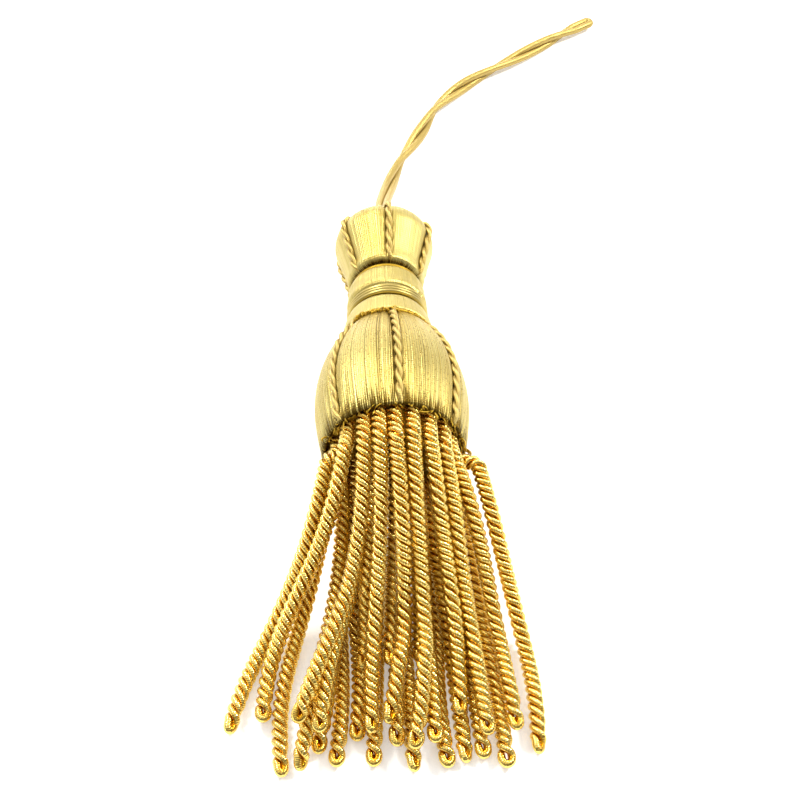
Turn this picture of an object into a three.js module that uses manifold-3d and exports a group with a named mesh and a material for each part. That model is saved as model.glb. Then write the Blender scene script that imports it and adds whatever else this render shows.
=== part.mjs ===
// A gold bullion tassel lying on a table. The thread-covered head lies along +Y on its ribs,
// the bullion strands fall from the bell's mouth towards -Y and spread out on the table,
// and the doubled hanging cord runs on from the knob. Millimetres, +Z up, table at z = 0.
import * as THREE from 'three';
import { mergeVertices } from 'three/addons/utils/BufferGeometryUtils.js';
import Module from 'manifold-3d';

const wasm = await Module();
wasm.setup();

const { degToRad, lerp, smoothstep } = THREE.MathUtils;

// The gap that is kept between pieces that touch, and the distance at which points are one.
const GAP = 0.3;
const MERGE = 1e-4;

// Where the head's axis meets the plane of the mouth, seen from the middle of the footprint.
const HEAD = { x: 3.5, mouthY: -6.15 };

// Outlines of the turned pieces: s is the distance from the mouth along the axis, r the radius there.
const BELL_OUTLINE = [
  { s: 0.4, r: 13.5 },
  { s: 2.0, r: 13.9 },
  { s: 5.0, r: 14.4 },
  { s: 12.0, r: 15.0 },
  { s: 17.0, r: 14.6 },
  { s: 22.0, r: 13.4 },
  { s: 27.0, r: 11.4 },
  { s: 31.5, r: 9.1 },
  { s: 33.9, r: 7.3 },
];
const NECK_OUTLINE = [
  { s: 34.2, r: 7.5 },
  { s: 35.0, r: 8.5 },
  { s: 37.6, r: 8.5 },
  { s: 38.0, r: 7.4 },
  { s: 42.4, r: 7.4 },
  { s: 42.8, r: 8.1 },
  { s: 46.0, r: 7.9 },
  { s: 48.4, r: 7.2 },
];
const KNOB_OUTLINE = [
  { s: 48.7, r: 7.4 },
  { s: 51.2, r: 8.3 },
  { s: 54.5, r: 9.1 },
  { s: 58.0, r: 10.0 },
  { s: 61.5, r: 10.7 },
  { s: 64.0, r: 10.0 },
  { s: 65.8, r: 7.6 },
  { s: 66.8, r: 3.0 },
];
const MOUTH_RECESS = { r: 13.0, depth: 4.6 };
const LATHE_SEGMENTS = 32;
const OUTLINE_STEPS = 12;

// Three turns of wire wound side by side in the neck's seat.
const BINDING = { turns: 3, from: 38.1, pitch: 1.4, inner: 7.7, outer: 8.8, arcSteps: 4 };

// Two-ply gimp ribs: crest is the length of half a twist. Their turns from the top of a mould are uneven,
// as they are laid by hand, and the head lies on the carrying rib of each mould.
const RIB = { diameter: 1.4, crest: 2.8, waist: 0.5, sides: 6, stepsPerCrest: 3 };
const RIB_PRESS = 0.15;
const CARRYING_TURN = 186;
const BELL_RIB_TURNS = [5, 56, 117, CARRYING_TURN, 249, 311];
const KNOB_RIB_TURNS = [6, 66, 126, CARRYING_TURN, 246, 306];

// Bullion strands: a section is level where a strand lies on the table, and a diamond where it lies on others.
// Its corners reach half sideways and rise up or down; a level section's corners stand at the diagonals.
const STRAND = { diameter: 2.76, steps: 18, samples: 40, crowding: 1.6 };
const DIAMOND_SECTION = { half: STRAND.diameter / 2, rise: STRAND.diameter / 2 };
const LEVEL_SECTION = {
  base: { half: 1.1 * Math.SQRT2, rise: (STRAND.diameter / 2) * Math.SQRT2 },
  top: { half: 0.8 * Math.SQRT2, rise: 1.1 * Math.SQRT2 },
};
const HEADING = { r: 12.6, from: 0.8, to: 4.2, segments: 32 };
const ROOT = { outer: 11.0, inner: 7.6, core: 4.2, s: 2.5, exit: -2.0, clearOfLip: -4.8 };
const LANDING = { near: 0.3, far: 0.85, height: 27.0 };
// A strand's first points are held by the mouth; the rest rest on what is below, with their bends eased.
const HELD_POINTS = 3;
const SMOOTHING_PASSES = 12;

// One row a strand: the root's turn from the top of the mouth and its ring, how far it springs out at the lip,
// the tip's place from the middle of the mouth, how far it bows and sways to the right, and its section.
const STRANDS = [
  { turn: -97, ring: 'outer', flare: 0.5, tipX: -21.3, tipY: -56.0, bow: -2.5, sway: 1.0, lies: 'level' },
  { turn: -115, ring: 'outer', flare: 0.0, tipX: -18.2, tipY: -55.0, bow: 1.5, sway: 0.5, lies: 'level' },
  { turn: -132, ring: 'outer', flare: 0.0, tipX: -15.1, tipY: -52.0, bow: 0.5, sway: 0.0, lies: 'level' },
  { turn: -148, ring: 'outer', flare: 0.0, tipX: -12.0, tipY: -54.5, bow: -2.0, sway: -1.0, lies: 'level' },
  { turn: -164, ring: 'outer', flare: 0.0, tipX: -5.5, tipY: -54.7, bow: 0.0, sway: 0.0, lies: 'level' },
  { turn: 180, ring: 'outer', flare: 0.0, tipX: 1.4, tipY: -55.9, bow: 0.0, sway: 0.0, lies: 'level' },
  { turn: 164, ring: 'outer', flare: 0.0, tipX: 7.3, tipY: -55.4, bow: 1.5, sway: 1.0, lies: 'level' },
  { turn: 148, ring: 'outer', flare: 0.0, tipX: 10.4, tipY: -54.6, bow: 0.5, sway: 0.0, lies: 'level' },
  { turn: 132, ring: 'outer', flare: 0.0, tipX: 13.6, tipY: -54.0, bow: 0.5, sway: 0.0, lies: 'level' },
  { turn: 115, ring: 'outer', flare: 1.5, tipX: 17.5, tipY: -55.8, bow: 1.0, sway: 0.0, lies: 'level' },
  { turn: 96, ring: 'outer', flare: 5.5, tipX: 23.1, tipY: -53.4, bow: 2.2, sway: -0.5, lies: 'level' },
  { turn: -76, ring: 'outer', flare: 2.0, tipX: -30.6, tipY: -47.6, bow: 0.0, sway: 1.3, lies: 'level' },
  { turn: -115, ring: 'inner', flare: 0.0, tipX: -14.7, tipY: -50.0, bow: 1.5, sway: 1.0, lies: 'over' },
  { turn: -150, ring: 'inner', flare: 0.0, tipX: -8.3, tipY: -50.0, bow: -2.0, sway: -1.0, lies: 'over' },
  { turn: 180, ring: 'inner', flare: 0.0, tipX: -1.4, tipY: -51.8, bow: 0.0, sway: 0.0, lies: 'over' },
  { turn: 145, ring: 'inner', flare: 0.0, tipX: 5.3, tipY: -52.0, bow: 0.0, sway: 0.0, lies: 'over' },
  { turn: -52, ring: 'outer', flare: 0.5, tipX: -24.7, tipY: -46.0, bow: -1.3, sway: 1.7, lies: 'over' },
  { turn: 77, ring: 'outer', flare: 0.5, tipX: 19.6, tipY: -49.7, bow: 1.6, sway: 0.2, lies: 'over' },
  { turn: -30, ring: 'outer', flare: 0.0, tipX: -18.4, tipY: -48.6, bow: 3.0, sway: 0.2, lies: 'over' },
  { turn: 56, ring: 'outer', flare: 0.0, tipX: 14.4, tipY: -51.0, bow: 0.3, sway: 0.0, lies: 'over' },
  { turn: -14, ring: 'outer', flare: 0.0, tipX: -5.7, tipY: -50.0, bow: 0.2, sway: 0.4, lies: 'over' },
  { turn: 36, ring: 'outer', flare: 0.0, tipX: 9.8, tipY: -47.1, bow: 0.9, sway: -0.3, lies: 'over' },
  { turn: 1, ring: 'outer', flare: 0.0, tipX: -2.7, tipY: -49.0, bow: 2.1, sway: -0.3, lies: 'over' },
  { turn: 18, ring: 'outer', flare: 0.0, tipX: 1.6, tipY: -53.2, bow: 1.6, sway: -0.6, lies: 'over' },
  { turn: 180, ring: 'core', flare: 0.0, tipX: -2.2, tipY: -38.0, bow: 0.0, sway: 0.0, lies: 'over' },
  { turn: 110, ring: 'core', flare: 0.0, tipX: 3.2, tipY: -38.0, bow: 0.0, sway: 0.0, lies: 'over' },
  { turn: -110, ring: 'core', flare: 0.0, tipX: -7.0, tipY: -38.0, bow: 0.0, sway: 0.0, lies: 'over' },
];

// The hanging cord: two plies of one size, and its route from the knob, measured from the middle of the mouth.
const CORD = { ply: 1.75, sides: 8, steps: 64, waist: 0.4, endRound: 1.6, endShare: 0.3 };
const CORD_ROUTE = [
  { x: 0.0, y: 67.1, z: 11.9 },
  { x: 0.0, y: 71.5, z: 11.4 },
  { x: 0.0, y: 75.5, z: 10.4 },
  { x: 0.4, y: 80.0, z: 8.6 },
  { x: 1.2, y: 85.5, z: 6.2 },
  { x: 2.2, y: 91.0, z: 4.0 },
  { x: 3.6, y: 97.0, z: 2.4 },
  { x: 5.3, y: 102.4, z: 1.8 },
  { x: 8.0, y: 107.8, z: 1.8 },
  { x: 11.3, y: 114.6, z: 1.8 },
  { x: 15.0, y: 122.4, z: 1.8 },
  { x: 19.2, y: 127.8, z: 1.8 },
  { x: 24.0, y: 132.6, z: 1.8 },
  { x: 30.0, y: 137.4, z: 1.8 },
  { x: 37.2, y: 142.6, z: 1.8 },
  { x: 43.4, y: 147.2, z: 1.8 },
  { x: 50.5, y: 152.4, z: 1.8 },
  { x: 56.0, y: 156.2, z: 1.8 },
  { x: 59.3, y: 158.2, z: 1.8 },
];
// The run along the cord at which its plies have made so many half turns; at 0.5 one lies on the other.
const CORD_TWIST = [
  { run: 0.0, halfTurns: -0.9 },
  { run: 38.0, halfTurns: 0.5 },
  { run: 63.5, halfTurns: 1.5 },
  { run: 85.5, halfTurns: 2.5 },
  { run: 102.5, halfTurns: 3.5 },
  { run: 111.0, halfTurns: 4.0 },
  { run: 120.0, halfTurns: 4.0 },
];

const COLOURS = { thread: '#d8b751', gimp: '#cfa945', wire: '#a98c3a', bullion: '#c99a34', cord: '#dcb452' };
const FINISH = { roughness: 0.4, metalness: 0.6 };

const widestRow = (rows) => rows.reduce((widest, row) => (row.r > widest.r ? row : widest));
const bellRest = widestRow(BELL_OUTLINE);
const knobRest = widestRow(KNOB_OUTLINE);

// The head lies on the bell's and the knob's lowest ribs, so its axis falls towards the slimmer knob.
const tilt = Math.asin((bellRest.r - knobRest.r) / (knobRest.s - bellRest.s));
const ribCentre = GAP + RIB.diameter / 2;
const ribBelow = -(bellRest.r + ribCentre) * Math.cos(degToRad(CARRYING_TURN));
const restHeight = ribBelow + RIB.diameter / 2 - RIB_PRESS;
const mouthZ = restHeight * Math.cos(tilt) + bellRest.s * Math.sin(tilt);

const tassel = new THREE.Group();
const head = new THREE.Group();
head.position.set(HEAD.x, HEAD.mouthY, mouthZ);
head.rotation.x = -tilt;
head.updateMatrix();
tassel.add(head);

function addPiece(parent, name, geometry, colour) {
  const piece = new THREE.Mesh(geometry, new THREE.MeshStandardMaterial({ color: colour, ...FINISH }));
  piece.name = name;
  parent.add(piece);
  return piece;
}

const outlinePoints = (rows) => rows.map(({ r, s }) => new THREE.Vector2(r, s));
const onAxis = (point) => new THREE.Vector2(0, point.y);

// A closed turned piece: its outline runs from the axis, round the inside of any mouth, and back to the axis.
function turned(inside, outline) {
  const points = [...inside, ...outline];
  return new THREE.LatheGeometry([onAxis(points[0]), ...points, onAxis(points.at(-1))], LATHE_SEGMENTS);
}

// A closed bar of the given sides and steps whose points are placed by a function of the share of the way along
// it and of the section's two coordinates, to the right and up.
function bar(sides, steps, sectionTurn, place) {
  const geometry = new THREE.CylinderGeometry(1, 1, 1, sides, steps, false, sectionTurn);
  const position = geometry.attributes.position;
  for (let i = 0; i < position.count; i += 1) {
    const point = place(position.getY(i) + 0.5, position.getX(i), position.getZ(i));
    position.setXYZ(i, point.x, point.y, point.z);
  }
  return geometry;
}

// Two plies side by side, turned about their middle: the section is full across them and pinched in between.
function twoPlySection(right, up, turn, ply, waist) {
  const across = new THREE.Vector2(right, up).multiplyScalar(ply);
  across.y *= lerp(waist, 1, Math.abs(right));
  return across.rotateAround(new THREE.Vector2(), turn);
}

// A gimp rib over a turned piece's outline, built at the top of the piece.
function rib(outline) {
  const length = outline.getLength();
  const crests = Math.round(length / RIB.crest);
  return bar(RIB.sides, crests * RIB.stepsPerCrest, 0, (along, right, up) => {
    const centre = outline.getPointAt(along);
    const tangent = outline.getTangentAt(along);
    const section = twoPlySection(right, up, along * crests * Math.PI, RIB.diameter / 2, RIB.waist);
    const lift = ribCentre + section.y;
    return new THREE.Vector3(section.x, centre.y - tangent.x * lift, centre.x + tangent.y * lift);
  });
}

// Moves the points of a piece that would sink into the table up to its surface.
function pressOnTable(piece) {
  piece.updateWorldMatrix(true, false);
  const toPiece = piece.matrixWorld.clone().invert();
  const position = piece.geometry.attributes.position;
  const point = new THREE.Vector3();
  for (let i = 0; i < position.count; i += 1) {
    point.fromBufferAttribute(position, i).applyMatrix4(piece.matrixWorld);
    point.z = Math.max(point.z, 0);
    point.applyMatrix4(toPiece);
    position.setXYZ(i, point.x, point.y, point.z);
  }
}

function addRibs(name, outline, turns) {
  turns.forEach((turn, i) => {
    const piece = addPiece(head, `${name}_${i + 1}`, rib(outline), COLOURS.gimp);
    piece.rotation.y = degToRad(turn);
    pressOnTable(piece);
  });
}

// Bell, with the hollow mouth that holds the fringe's heading, and its ribs.
const bellCurve = new THREE.SplineCurve(outlinePoints(BELL_OUTLINE));
const mouthRecess = [
  new THREE.Vector2(MOUTH_RECESS.r, MOUTH_RECESS.depth),
  new THREE.Vector2(MOUTH_RECESS.r, BELL_OUTLINE[0].s),
];
addPiece(head, 'bell', turned(mouthRecess, bellCurve.getPoints(OUTLINE_STEPS)), COLOURS.thread);
addRibs('bell_rib', bellCurve, BELL_RIB_TURNS);

// Neck and its wire binding, whose turns show as rounded ridges.
addPiece(head, 'neck', turned([], outlinePoints(NECK_OUTLINE)), COLOURS.thread);

function bindingRing() {
  const points = [];
  for (let i = 0; i <= BINDING.turns * BINDING.arcSteps; i += 1) {
    const across = i / BINDING.arcSteps;
    const ridge = Math.abs(Math.sin(across * Math.PI));
    const radius = lerp(BINDING.inner, BINDING.outer, (1 + ridge) / 2);
    points.push(new THREE.Vector2(radius, BINDING.from + across * BINDING.pitch));
  }
  const inside = new THREE.Vector2(BINDING.inner, points.at(-1).y);
  const start = new THREE.Vector2(BINDING.inner, points[0].y);
  return new THREE.LatheGeometry([start, ...points, inside, start], LATHE_SEGMENTS);
}
addPiece(head, 'neck_binding', bindingRing(), COLOURS.wire);

// Knob and its ribs.
const knobCurve = new THREE.SplineCurve(outlinePoints(KNOB_OUTLINE));
addPiece(head, 'knob', turned([], knobCurve.getPoints(OUTLINE_STEPS)), COLOURS.thread);
addRibs('knob_rib', knobCurve, KNOB_RIB_TURNS);

// The way of one strand before others lift it: out of the mouth, then down to the table and along to its tip.
function freeRoute({ turn, ring, flare, tipX, tipY, bow, sway }) {
  const angle = degToRad(turn);
  const atMouth = (radius, s) => new THREE.Vector3(radius * Math.sin(angle), s, radius * Math.cos(angle))
    .applyMatrix4(head.matrix);
  const start = atMouth(ROOT[ring] + flare, ROOT.clearOfLip);
  const floor = STRAND.diameter / 2;
  const landing = lerp(LANDING.near, LANDING.far, (start.z - floor) / LANDING.height);
  const points = [atMouth(ROOT[ring], ROOT.s), atMouth(ROOT[ring], ROOT.exit)];
  for (let i = 0; i <= STRAND.samples; i += 1) {
    const along = i / STRAND.samples;
    const aside = bow * Math.sin(Math.PI * along) + sway * Math.sin(2 * Math.PI * along);
    points.push(new THREE.Vector3(
      lerp(start.x, HEAD.x + tipX, along) + aside,
      lerp(start.y, HEAD.mouthY + tipY, along),
      lerp(start.z, floor, smoothstep(along, 0, landing)),
    ));
  }
  return points;
}

// The lowest height at which a strand's middle clears the table and the points of the strands already laid.
function clearHeight(point, laid) {
  const pitch = STRAND.diameter + GAP;
  return laid.reduce((height, other) => {
    const aside = Math.hypot(point.x - other.x, point.y - other.y);
    return aside < pitch ? Math.max(height, other.z + Math.sqrt(pitch ** 2 - aside ** 2)) : height;
  }, STRAND.diameter / 2);
}

const rootHeight = ({ turn, ring }) => ROOT[ring] * Math.cos(degToRad(turn));
const fromTheLowest = [...STRANDS].sort((a, b) => rootHeight(a) - rootHeight(b));

// Lays a strand over those before it, and eases the bends where it passes over them.
function layStrand(row, laid) {
  const points = freeRoute(row);
  const clear = points.map((point) => clearHeight(point, laid));
  let heights = points.map((point, i) => (i < HELD_POINTS ? point.z : Math.max(point.z, clear[i])));
  for (let pass = 0; pass < SMOOTHING_PASSES; pass += 1) {
    heights = heights.map((height, i) => {
      if (i < HELD_POINTS || i === heights.length - 1) {
        return height;
      }
      return Math.max(clear[i], (heights[i - 1] + heights[i + 1]) / 2);
    });
  }
  points.forEach((point, i) => point.setZ(heights[i]));
  return points;
}

// The strand's solid keeps its section upright, so that it is level where it lies on the table. Its steps are
// crowded towards the root, where it bends most.
function strandBar(route, lies) {
  const curve = new THREE.CatmullRomCurve3(route);
  const level = lies === 'level';
  return bar(4, STRAND.steps, level ? Math.PI / 4 : 0, (along, right, up) => {
    const share = along ** STRAND.crowding;
    const centre = curve.getPoint(share);
    const tangent = curve.getTangent(share);
    const side = new THREE.Vector3(tangent.y, -tangent.x, 0).normalize();
    const { half, rise } = level ? LEVEL_SECTION[up > 0 ? 'top' : 'base'] : DIAMOND_SECTION;
    return centre.addScaledVector(side, right * half).setZ(centre.z + up * rise);
  });
}

function toManifold(geometry) {
  const bare = geometry.clone();
  bare.deleteAttribute('normal');
  bare.deleteAttribute('uv');
  const merged = mergeVertices(bare, MERGE);
  return new wasm.Manifold(new wasm.Mesh({
    numProp: 3,
    vertProperties: merged.attributes.position.array,
    triVerts: new Uint32Array(merged.index.array),
  }));
}

function toGeometry(manifold) {
  const { vertProperties, triVerts } = manifold.getMesh();
  const geometry = new THREE.BufferGeometry();
  geometry.setAttribute('position', new THREE.BufferAttribute(vertProperties, 3));
  geometry.setIndex(new THREE.BufferAttribute(triVerts, 1));
  return geometry;
}

// The fringe: a disc of heading inside the mouth with every strand's root fused into it.
function fringe() {
  const thickness = HEADING.to - HEADING.from;
  const disc = new THREE.CylinderGeometry(HEADING.r, HEADING.r, thickness, HEADING.segments);
  disc.translate(0, (HEADING.from + HEADING.to) / 2, 0).applyMatrix4(head.matrix);
  const laid = [];
  let joined = toManifold(disc);
  for (const row of fromTheLowest) {
    const route = layStrand(row, laid);
    laid.push(...route);
    joined = joined.add(toManifold(strandBar(route, row.lies)));
  }
  return toGeometry(joined);
}
addPiece(tassel, 'fringe', fringe(), COLOURS.bullion);

// How far the cord's plies have turned after a run along it.
function cordTurn(run) {
  const next = CORD_TWIST.findIndex((row) => row.run > run);
  const [before, after] = [CORD_TWIST[next - 1], CORD_TWIST[next]];
  const share = (run - before.run) / (after.run - before.run);
  return lerp(before.halfTurns, after.halfTurns, share) * Math.PI;
}

// The hanging cord: two plies that turn round each other, rounded off where the doubled cord ends.
function hangCord() {
  const points = CORD_ROUTE.map(({ x, y, z }) => new THREE.Vector3(HEAD.x + x, HEAD.mouthY + y, z));
  const curve = new THREE.CatmullRomCurve3(points);
  const length = curve.getLength();
  return bar(CORD.sides, CORD.steps, 0, (along, right, up) => {
    const centre = curve.getPointAt(along);
    const tangent = curve.getTangentAt(along);
    const side = new THREE.Vector3(tangent.y, -tangent.x, 0).normalize();
    const top = side.clone().cross(tangent);
    const toEnd = Math.min((1 - along) * length, CORD.endRound);
    const taper = Math.max(Math.sqrt(1 - (1 - toEnd / CORD.endRound) ** 2), CORD.endShare);
    const section = twoPlySection(right, up, -cordTurn(along * length), CORD.ply * taper, CORD.waist);
    return centre.addScaledVector(side, section.x).addScaledVector(top, section.y);
  });
}
addPiece(tassel, 'hang_cord', hangCord(), COLOURS.cord);

export default tassel;
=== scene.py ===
# %% [markdown]
# # A gold bullion tassel
# The tassel lies on a table: a thread-covered head, a fringe of twisted bullion strands that spreads from the bell's
# mouth, and a doubled cord that it hangs by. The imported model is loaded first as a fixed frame. Its solids say where
# everything is, and each piece below takes the place of one of them with more detail.

# %% Load the solids
import math
from collections import namedtuple

import bpy
import numpy as np
from mathutils import Matrix


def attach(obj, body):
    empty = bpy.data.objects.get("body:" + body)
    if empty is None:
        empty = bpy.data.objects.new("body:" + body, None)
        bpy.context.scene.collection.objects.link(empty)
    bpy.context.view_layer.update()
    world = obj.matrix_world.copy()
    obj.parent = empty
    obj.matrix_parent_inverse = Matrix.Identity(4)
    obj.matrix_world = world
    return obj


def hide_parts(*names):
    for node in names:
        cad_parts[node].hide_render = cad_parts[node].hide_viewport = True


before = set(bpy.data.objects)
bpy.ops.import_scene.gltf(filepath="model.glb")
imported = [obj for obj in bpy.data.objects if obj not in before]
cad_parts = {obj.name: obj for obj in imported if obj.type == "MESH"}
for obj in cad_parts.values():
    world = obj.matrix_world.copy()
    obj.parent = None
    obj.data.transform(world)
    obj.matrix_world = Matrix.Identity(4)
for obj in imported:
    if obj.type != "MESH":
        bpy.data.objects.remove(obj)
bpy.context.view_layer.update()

MM = 0.001
random = np.random.default_rng(11)

# %% [markdown]
# ## Camera
# The picture looks down on the tassel from the fringe's end, about fifty degrees above the table. The camera could be
# aimed with a constraint, but two angles say the same and are easy to change.

# %% Camera
CAMERA_PLACE = (-1.67, -167.77, 226.0)
CAMERA_PITCH, CAMERA_YAW = 40.0, -2.23
CAMERA_LENS, CAMERA_SENSOR, CAMERA_NEAR = 63.0, 36.0, 0.01

bpy.ops.object.camera_add(
    location=[x * MM for x in CAMERA_PLACE],
    rotation=(math.radians(CAMERA_PITCH), 0, math.radians(CAMERA_YAW)),
)
camera = bpy.context.object
camera.name = "camera"
camera.data.lens, camera.data.sensor_width = CAMERA_LENS, CAMERA_SENSOR
camera.data.clip_start = CAMERA_NEAR
bpy.context.scene.camera = camera
print("camera at", CAMERA_PLACE, "mm")

# %% [markdown]
# ## Lines and yarns
# Cords, ribs and strands are all yarns that follow a line. Blender's curves with a round bevel would give plain
# tubes, but here yarns turn round each other, and the pattern of their winding has to run along them. So a line is a
# table of points, a few helpers smooth it and give its directions, and one helper sweeps a ring of points along it.


# %% Smooth lines
def unit(vectors):
    return vectors / np.linalg.norm(vectors, axis=-1, keepdims=True)


def ease(share):
    """0 below 0, 1 above 1, and a soft step between."""
    share = np.clip(share, 0, 1)
    return share * share * (3 - 2 * share)


def runs(line):
    """How far each point of a line is from its start, along the line."""
    return np.concatenate([[0], np.cumsum(np.linalg.norm(np.diff(line, axis=0), axis=1))])


FINE_STEPS = 2000


def smooth_line(points, step):
    """Points about a step apart on the smooth curve through the given points."""
    points = np.array(points, float)
    knots = runs(points)
    slopes = np.gradient(points, knots, axis=0)
    fine = np.linspace(0, knots[-1], FINE_STEPS)
    k = np.clip(np.searchsorted(knots, fine, side="right") - 1, 0, len(knots) - 2)
    span = (knots[k + 1] - knots[k])[:, None]
    u = (fine - knots[k])[:, None] / span
    curve = points[k] * (1 + 2 * u) * (1 - u) ** 2 + points[k + 1] * u * u * (3 - 2 * u)
    curve += span * (slopes[k] * u * (1 - u) ** 2 - slopes[k + 1] * u * u * (1 - u))
    length = runs(curve)
    even = np.linspace(0, length[-1], round(length[-1] / step) + 1)
    return np.stack([np.interp(even, length, column) for column in curve.T], axis=1)


def directions(line):
    """Along, to the right and up, at each point of a line that runs over the table."""
    along = unit(np.gradient(line, axis=0))
    right = unit(np.stack([along[:, 1], -along[:, 0], np.zeros(len(line))], axis=1))
    return along, right, np.cross(right, along)


# %% Yarns
Yarn = namedtuple("Yarn", "points faces uvs tone")


def yarn(path, out, radius, sides, tone=0.0, flat=1.0):
    """A closed tube round a path. Out points away from what the yarn winds about, radius is its size that way, and
    flat its size across, as a share of that. Radius, flat and the yarn's mix of random colour and painted shade may
    change along the path."""
    along = unit(np.gradient(path, axis=0))
    out = unit(out - (out * along).sum(axis=1, keepdims=True) * along)
    across = np.cross(along, out) * np.broadcast_to(flat, len(path))[:, None]
    turn = np.linspace(0, 2 * math.pi, sides, endpoint=False)[:, None]
    ring = np.cos(turn) * out[:, None] + np.sin(turn) * across[:, None]
    points = path[:, None] + np.broadcast_to(radius, len(path))[:, None, None] * ring
    steps = len(path) - 1
    i, j = (grid.ravel() for grid in np.meshgrid(np.arange(steps), np.arange(sides), indexing="ij"))
    after = (j + 1) % sides
    quads = np.stack([i * sides + j, i * sides + after, (i + 1) * sides + after, (i + 1) * sides + j], axis=1)
    run = runs(path)
    low, high = run[i], run[i + 1]
    quad_uvs = np.stack([low, j / sides, low, (j + 1) / sides, high, (j + 1) / sides, high, j / sides], axis=1)
    ends = [list(range(sides))[::-1], list(range(steps * sides, (steps + 1) * sides))]
    end_uvs = np.zeros((2 * sides, 2))
    uvs = np.concatenate([quad_uvs.reshape(-1, 2), end_uvs])
    tones = np.repeat(np.broadcast_to(tone, len(path)), sides)
    return Yarn(points.reshape(-1, 3), [*quads.tolist(), *ends], uvs, tones)


def add_yarns(name, yarns):
    """One object of several yarns, in metres, with its winding in the UV map and, for each yarn, its random colour
    and painted shade.
    """
    starts = np.cumsum([0, *(len(y.points) for y in yarns)])
    faces = [[start + corner for corner in face] for start, y in zip(starts, yarns) for face in y.faces]
    mesh = bpy.data.meshes.new(name)
    mesh.from_pydata((np.concatenate([y.points for y in yarns]) * MM).tolist(), [], faces)
    mesh.uv_layers.new(name="winding").data.foreach_set("uv", np.concatenate([y.uvs for y in yarns]).ravel())
    # This attribute holds each yarn's random colour together with its painted shade.
    mesh.attributes.new("tone", "FLOAT", "POINT").data.foreach_set("value", np.concatenate([y.tone for y in yarns]))
    mesh.shade_smooth()
    piece = bpy.data.objects.new(name, mesh)
    bpy.context.scene.collection.objects.link(piece)
    print(name, "has", sum(len(face) - 2 for face in faces), "triangles")
    return piece


def dress(piece, finish, slot, *nodes):
    """Gives a finished piece its finish and its place among the solids."""
    piece.data.materials.append(finish)
    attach(piece, "root")
    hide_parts(*nodes)


# %% [markdown]
# ## Finishes
# Nearly all the gold here is metal: fine flat wire wound over a yellow thread, which is why the lights are soft and
# the hollows turn deep amber; the finishes paint shade into the hollows and light onto the crests as well. Each finish
# is a tree of shader nodes. Linking nodes by hand takes many lines, so a small class holds a socket and lets Python's
# own operators add the Math nodes.


# %% A socket with operators
class Shade:
    """A node's output. An expression on it adds Math nodes, and node() adds any other node."""

    def __init__(self, tree, socket=None):
        self.tree, self.socket = tree, socket

    def node(self, kind, settings=(), sockets=(), output=0):
        made = self.tree.nodes.new(kind)
        for name, value in dict(settings).items():
            setattr(made, name, value)
        for key, value in dict(sockets).items():
            if isinstance(value, Shade):
                self.tree.links.new(value.socket, made.inputs[key])
            else:
                made.inputs[key].default_value = value
        return Shade(self.tree, made.outputs[output] if made.outputs else None)

    def math(self, operation, first, second=0.0):
        return self.node("ShaderNodeMath", {"operation": operation}, {0: first, 1: second})

    def __add__(self, other):
        return self.math("ADD", self, other)

    def __sub__(self, other):
        return self.math("SUBTRACT", self, other)

    def __mul__(self, other):
        return self.math("MULTIPLY", self, other)

    __radd__ = __add__

    def clamp(self):
        return self.node("ShaderNodeClamp", {}, {0: self})

    def mix(self, dark, light):
        """The colour that lies this far from dark to light."""
        return self.node("ShaderNodeMix", {"data_type": "RGBA"}, {0: self, 6: dark, 7: light}, output=2)


# %% The parts that the finishes share
def attribute(canvas, name):
    return canvas.node("ShaderNodeAttribute", {"attribute_name": name}, output=2)


def cloudy(canvas, vector, scale, detail=2.0):
    """Soft noise about 0, from about -1 to 1."""
    noise = canvas.node("ShaderNodeTexNoise", {}, {"Vector": vector, "Scale": scale, "Detail": detail})
    return (noise - 0.5) * 2.0


def winding_place(canvas):
    """The run along a yarn in mm, and the share of the way round it."""
    uv = canvas.node("ShaderNodeUVMap", {"uv_map": "winding"})
    return (canvas.node("ShaderNodeSeparateXYZ", {}, {0: uv}, output=k) for k in (0, 1))


def wave(canvas, turns):
    """From -1 to 1 and back in each turn."""
    return canvas.math("SINE", turns * (2 * math.pi))


def crest(canvas, around):
    """1 on the outer side of a yarn and -1 on its inner side: wound wire paints light and shade by it."""
    return canvas.math("COSINE", around * (2 * math.pi))


def object_place(canvas):
    return canvas.node("ShaderNodeTexCoord", output=3)


# %% A finish from its look
# The two colours, how far the colour lies from deep to light where nothing moves it, the share of each value that moves
# it, the roughness and the share of the value that moves that, the height of the relief in mm, and how metallic it is.
Look = namedtuple("Look", "light deep mean shares rough rough_share relief metallic")
SPECULAR = 0.1


def lit(look, *values):
    """The colour of a look, moved by its share of each value."""
    light = sum((value * share for value, share in zip(values, look.shares)), look.mean)
    return light.clamp().mix(look.deep, look.light)


def gold_finish(name, draw, look):
    """A material of metal thread: draw gives its colour, the value that moves its roughness, and its height."""
    material = bpy.data.materials.new(name)
    material.use_nodes = True
    material.node_tree.nodes.clear()
    canvas = Shade(material.node_tree)
    colour, uneven, height = draw(canvas, look)
    bump = canvas.node("ShaderNodeBump", {}, {"Strength": 1.0, "Distance": look.relief * MM, "Height": height})
    surface = canvas.node("ShaderNodeBsdfPrincipled", {}, {
        "Base Color": colour, "Roughness": uneven * look.rough_share + look.rough, "Metallic": look.metallic,
        "Specular IOR Level": SPECULAR, "Normal": bump,
    })
    canvas.node("ShaderNodeOutputMaterial", {}, {"Surface": surface})
    return material


# %% [markdown]
# ## Hanging cord
# The tassel hangs by one satin cord that is doubled and loosely twisted on itself, so it ends in a closed eye. Both
# legs are one yarn: out along the line, round the eye and back. The line is that of the solid.

# %% Finish of the cord
SATIN = Look(
    light=(0.52, 0.385, 0.12, 1), deep=(0.37, 0.24, 0.05, 1), mean=0.65, shares=(0.35, 0.2),
    rough=0.36, rough_share=0.06, relief=0.03, metallic=0.5,
)


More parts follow.
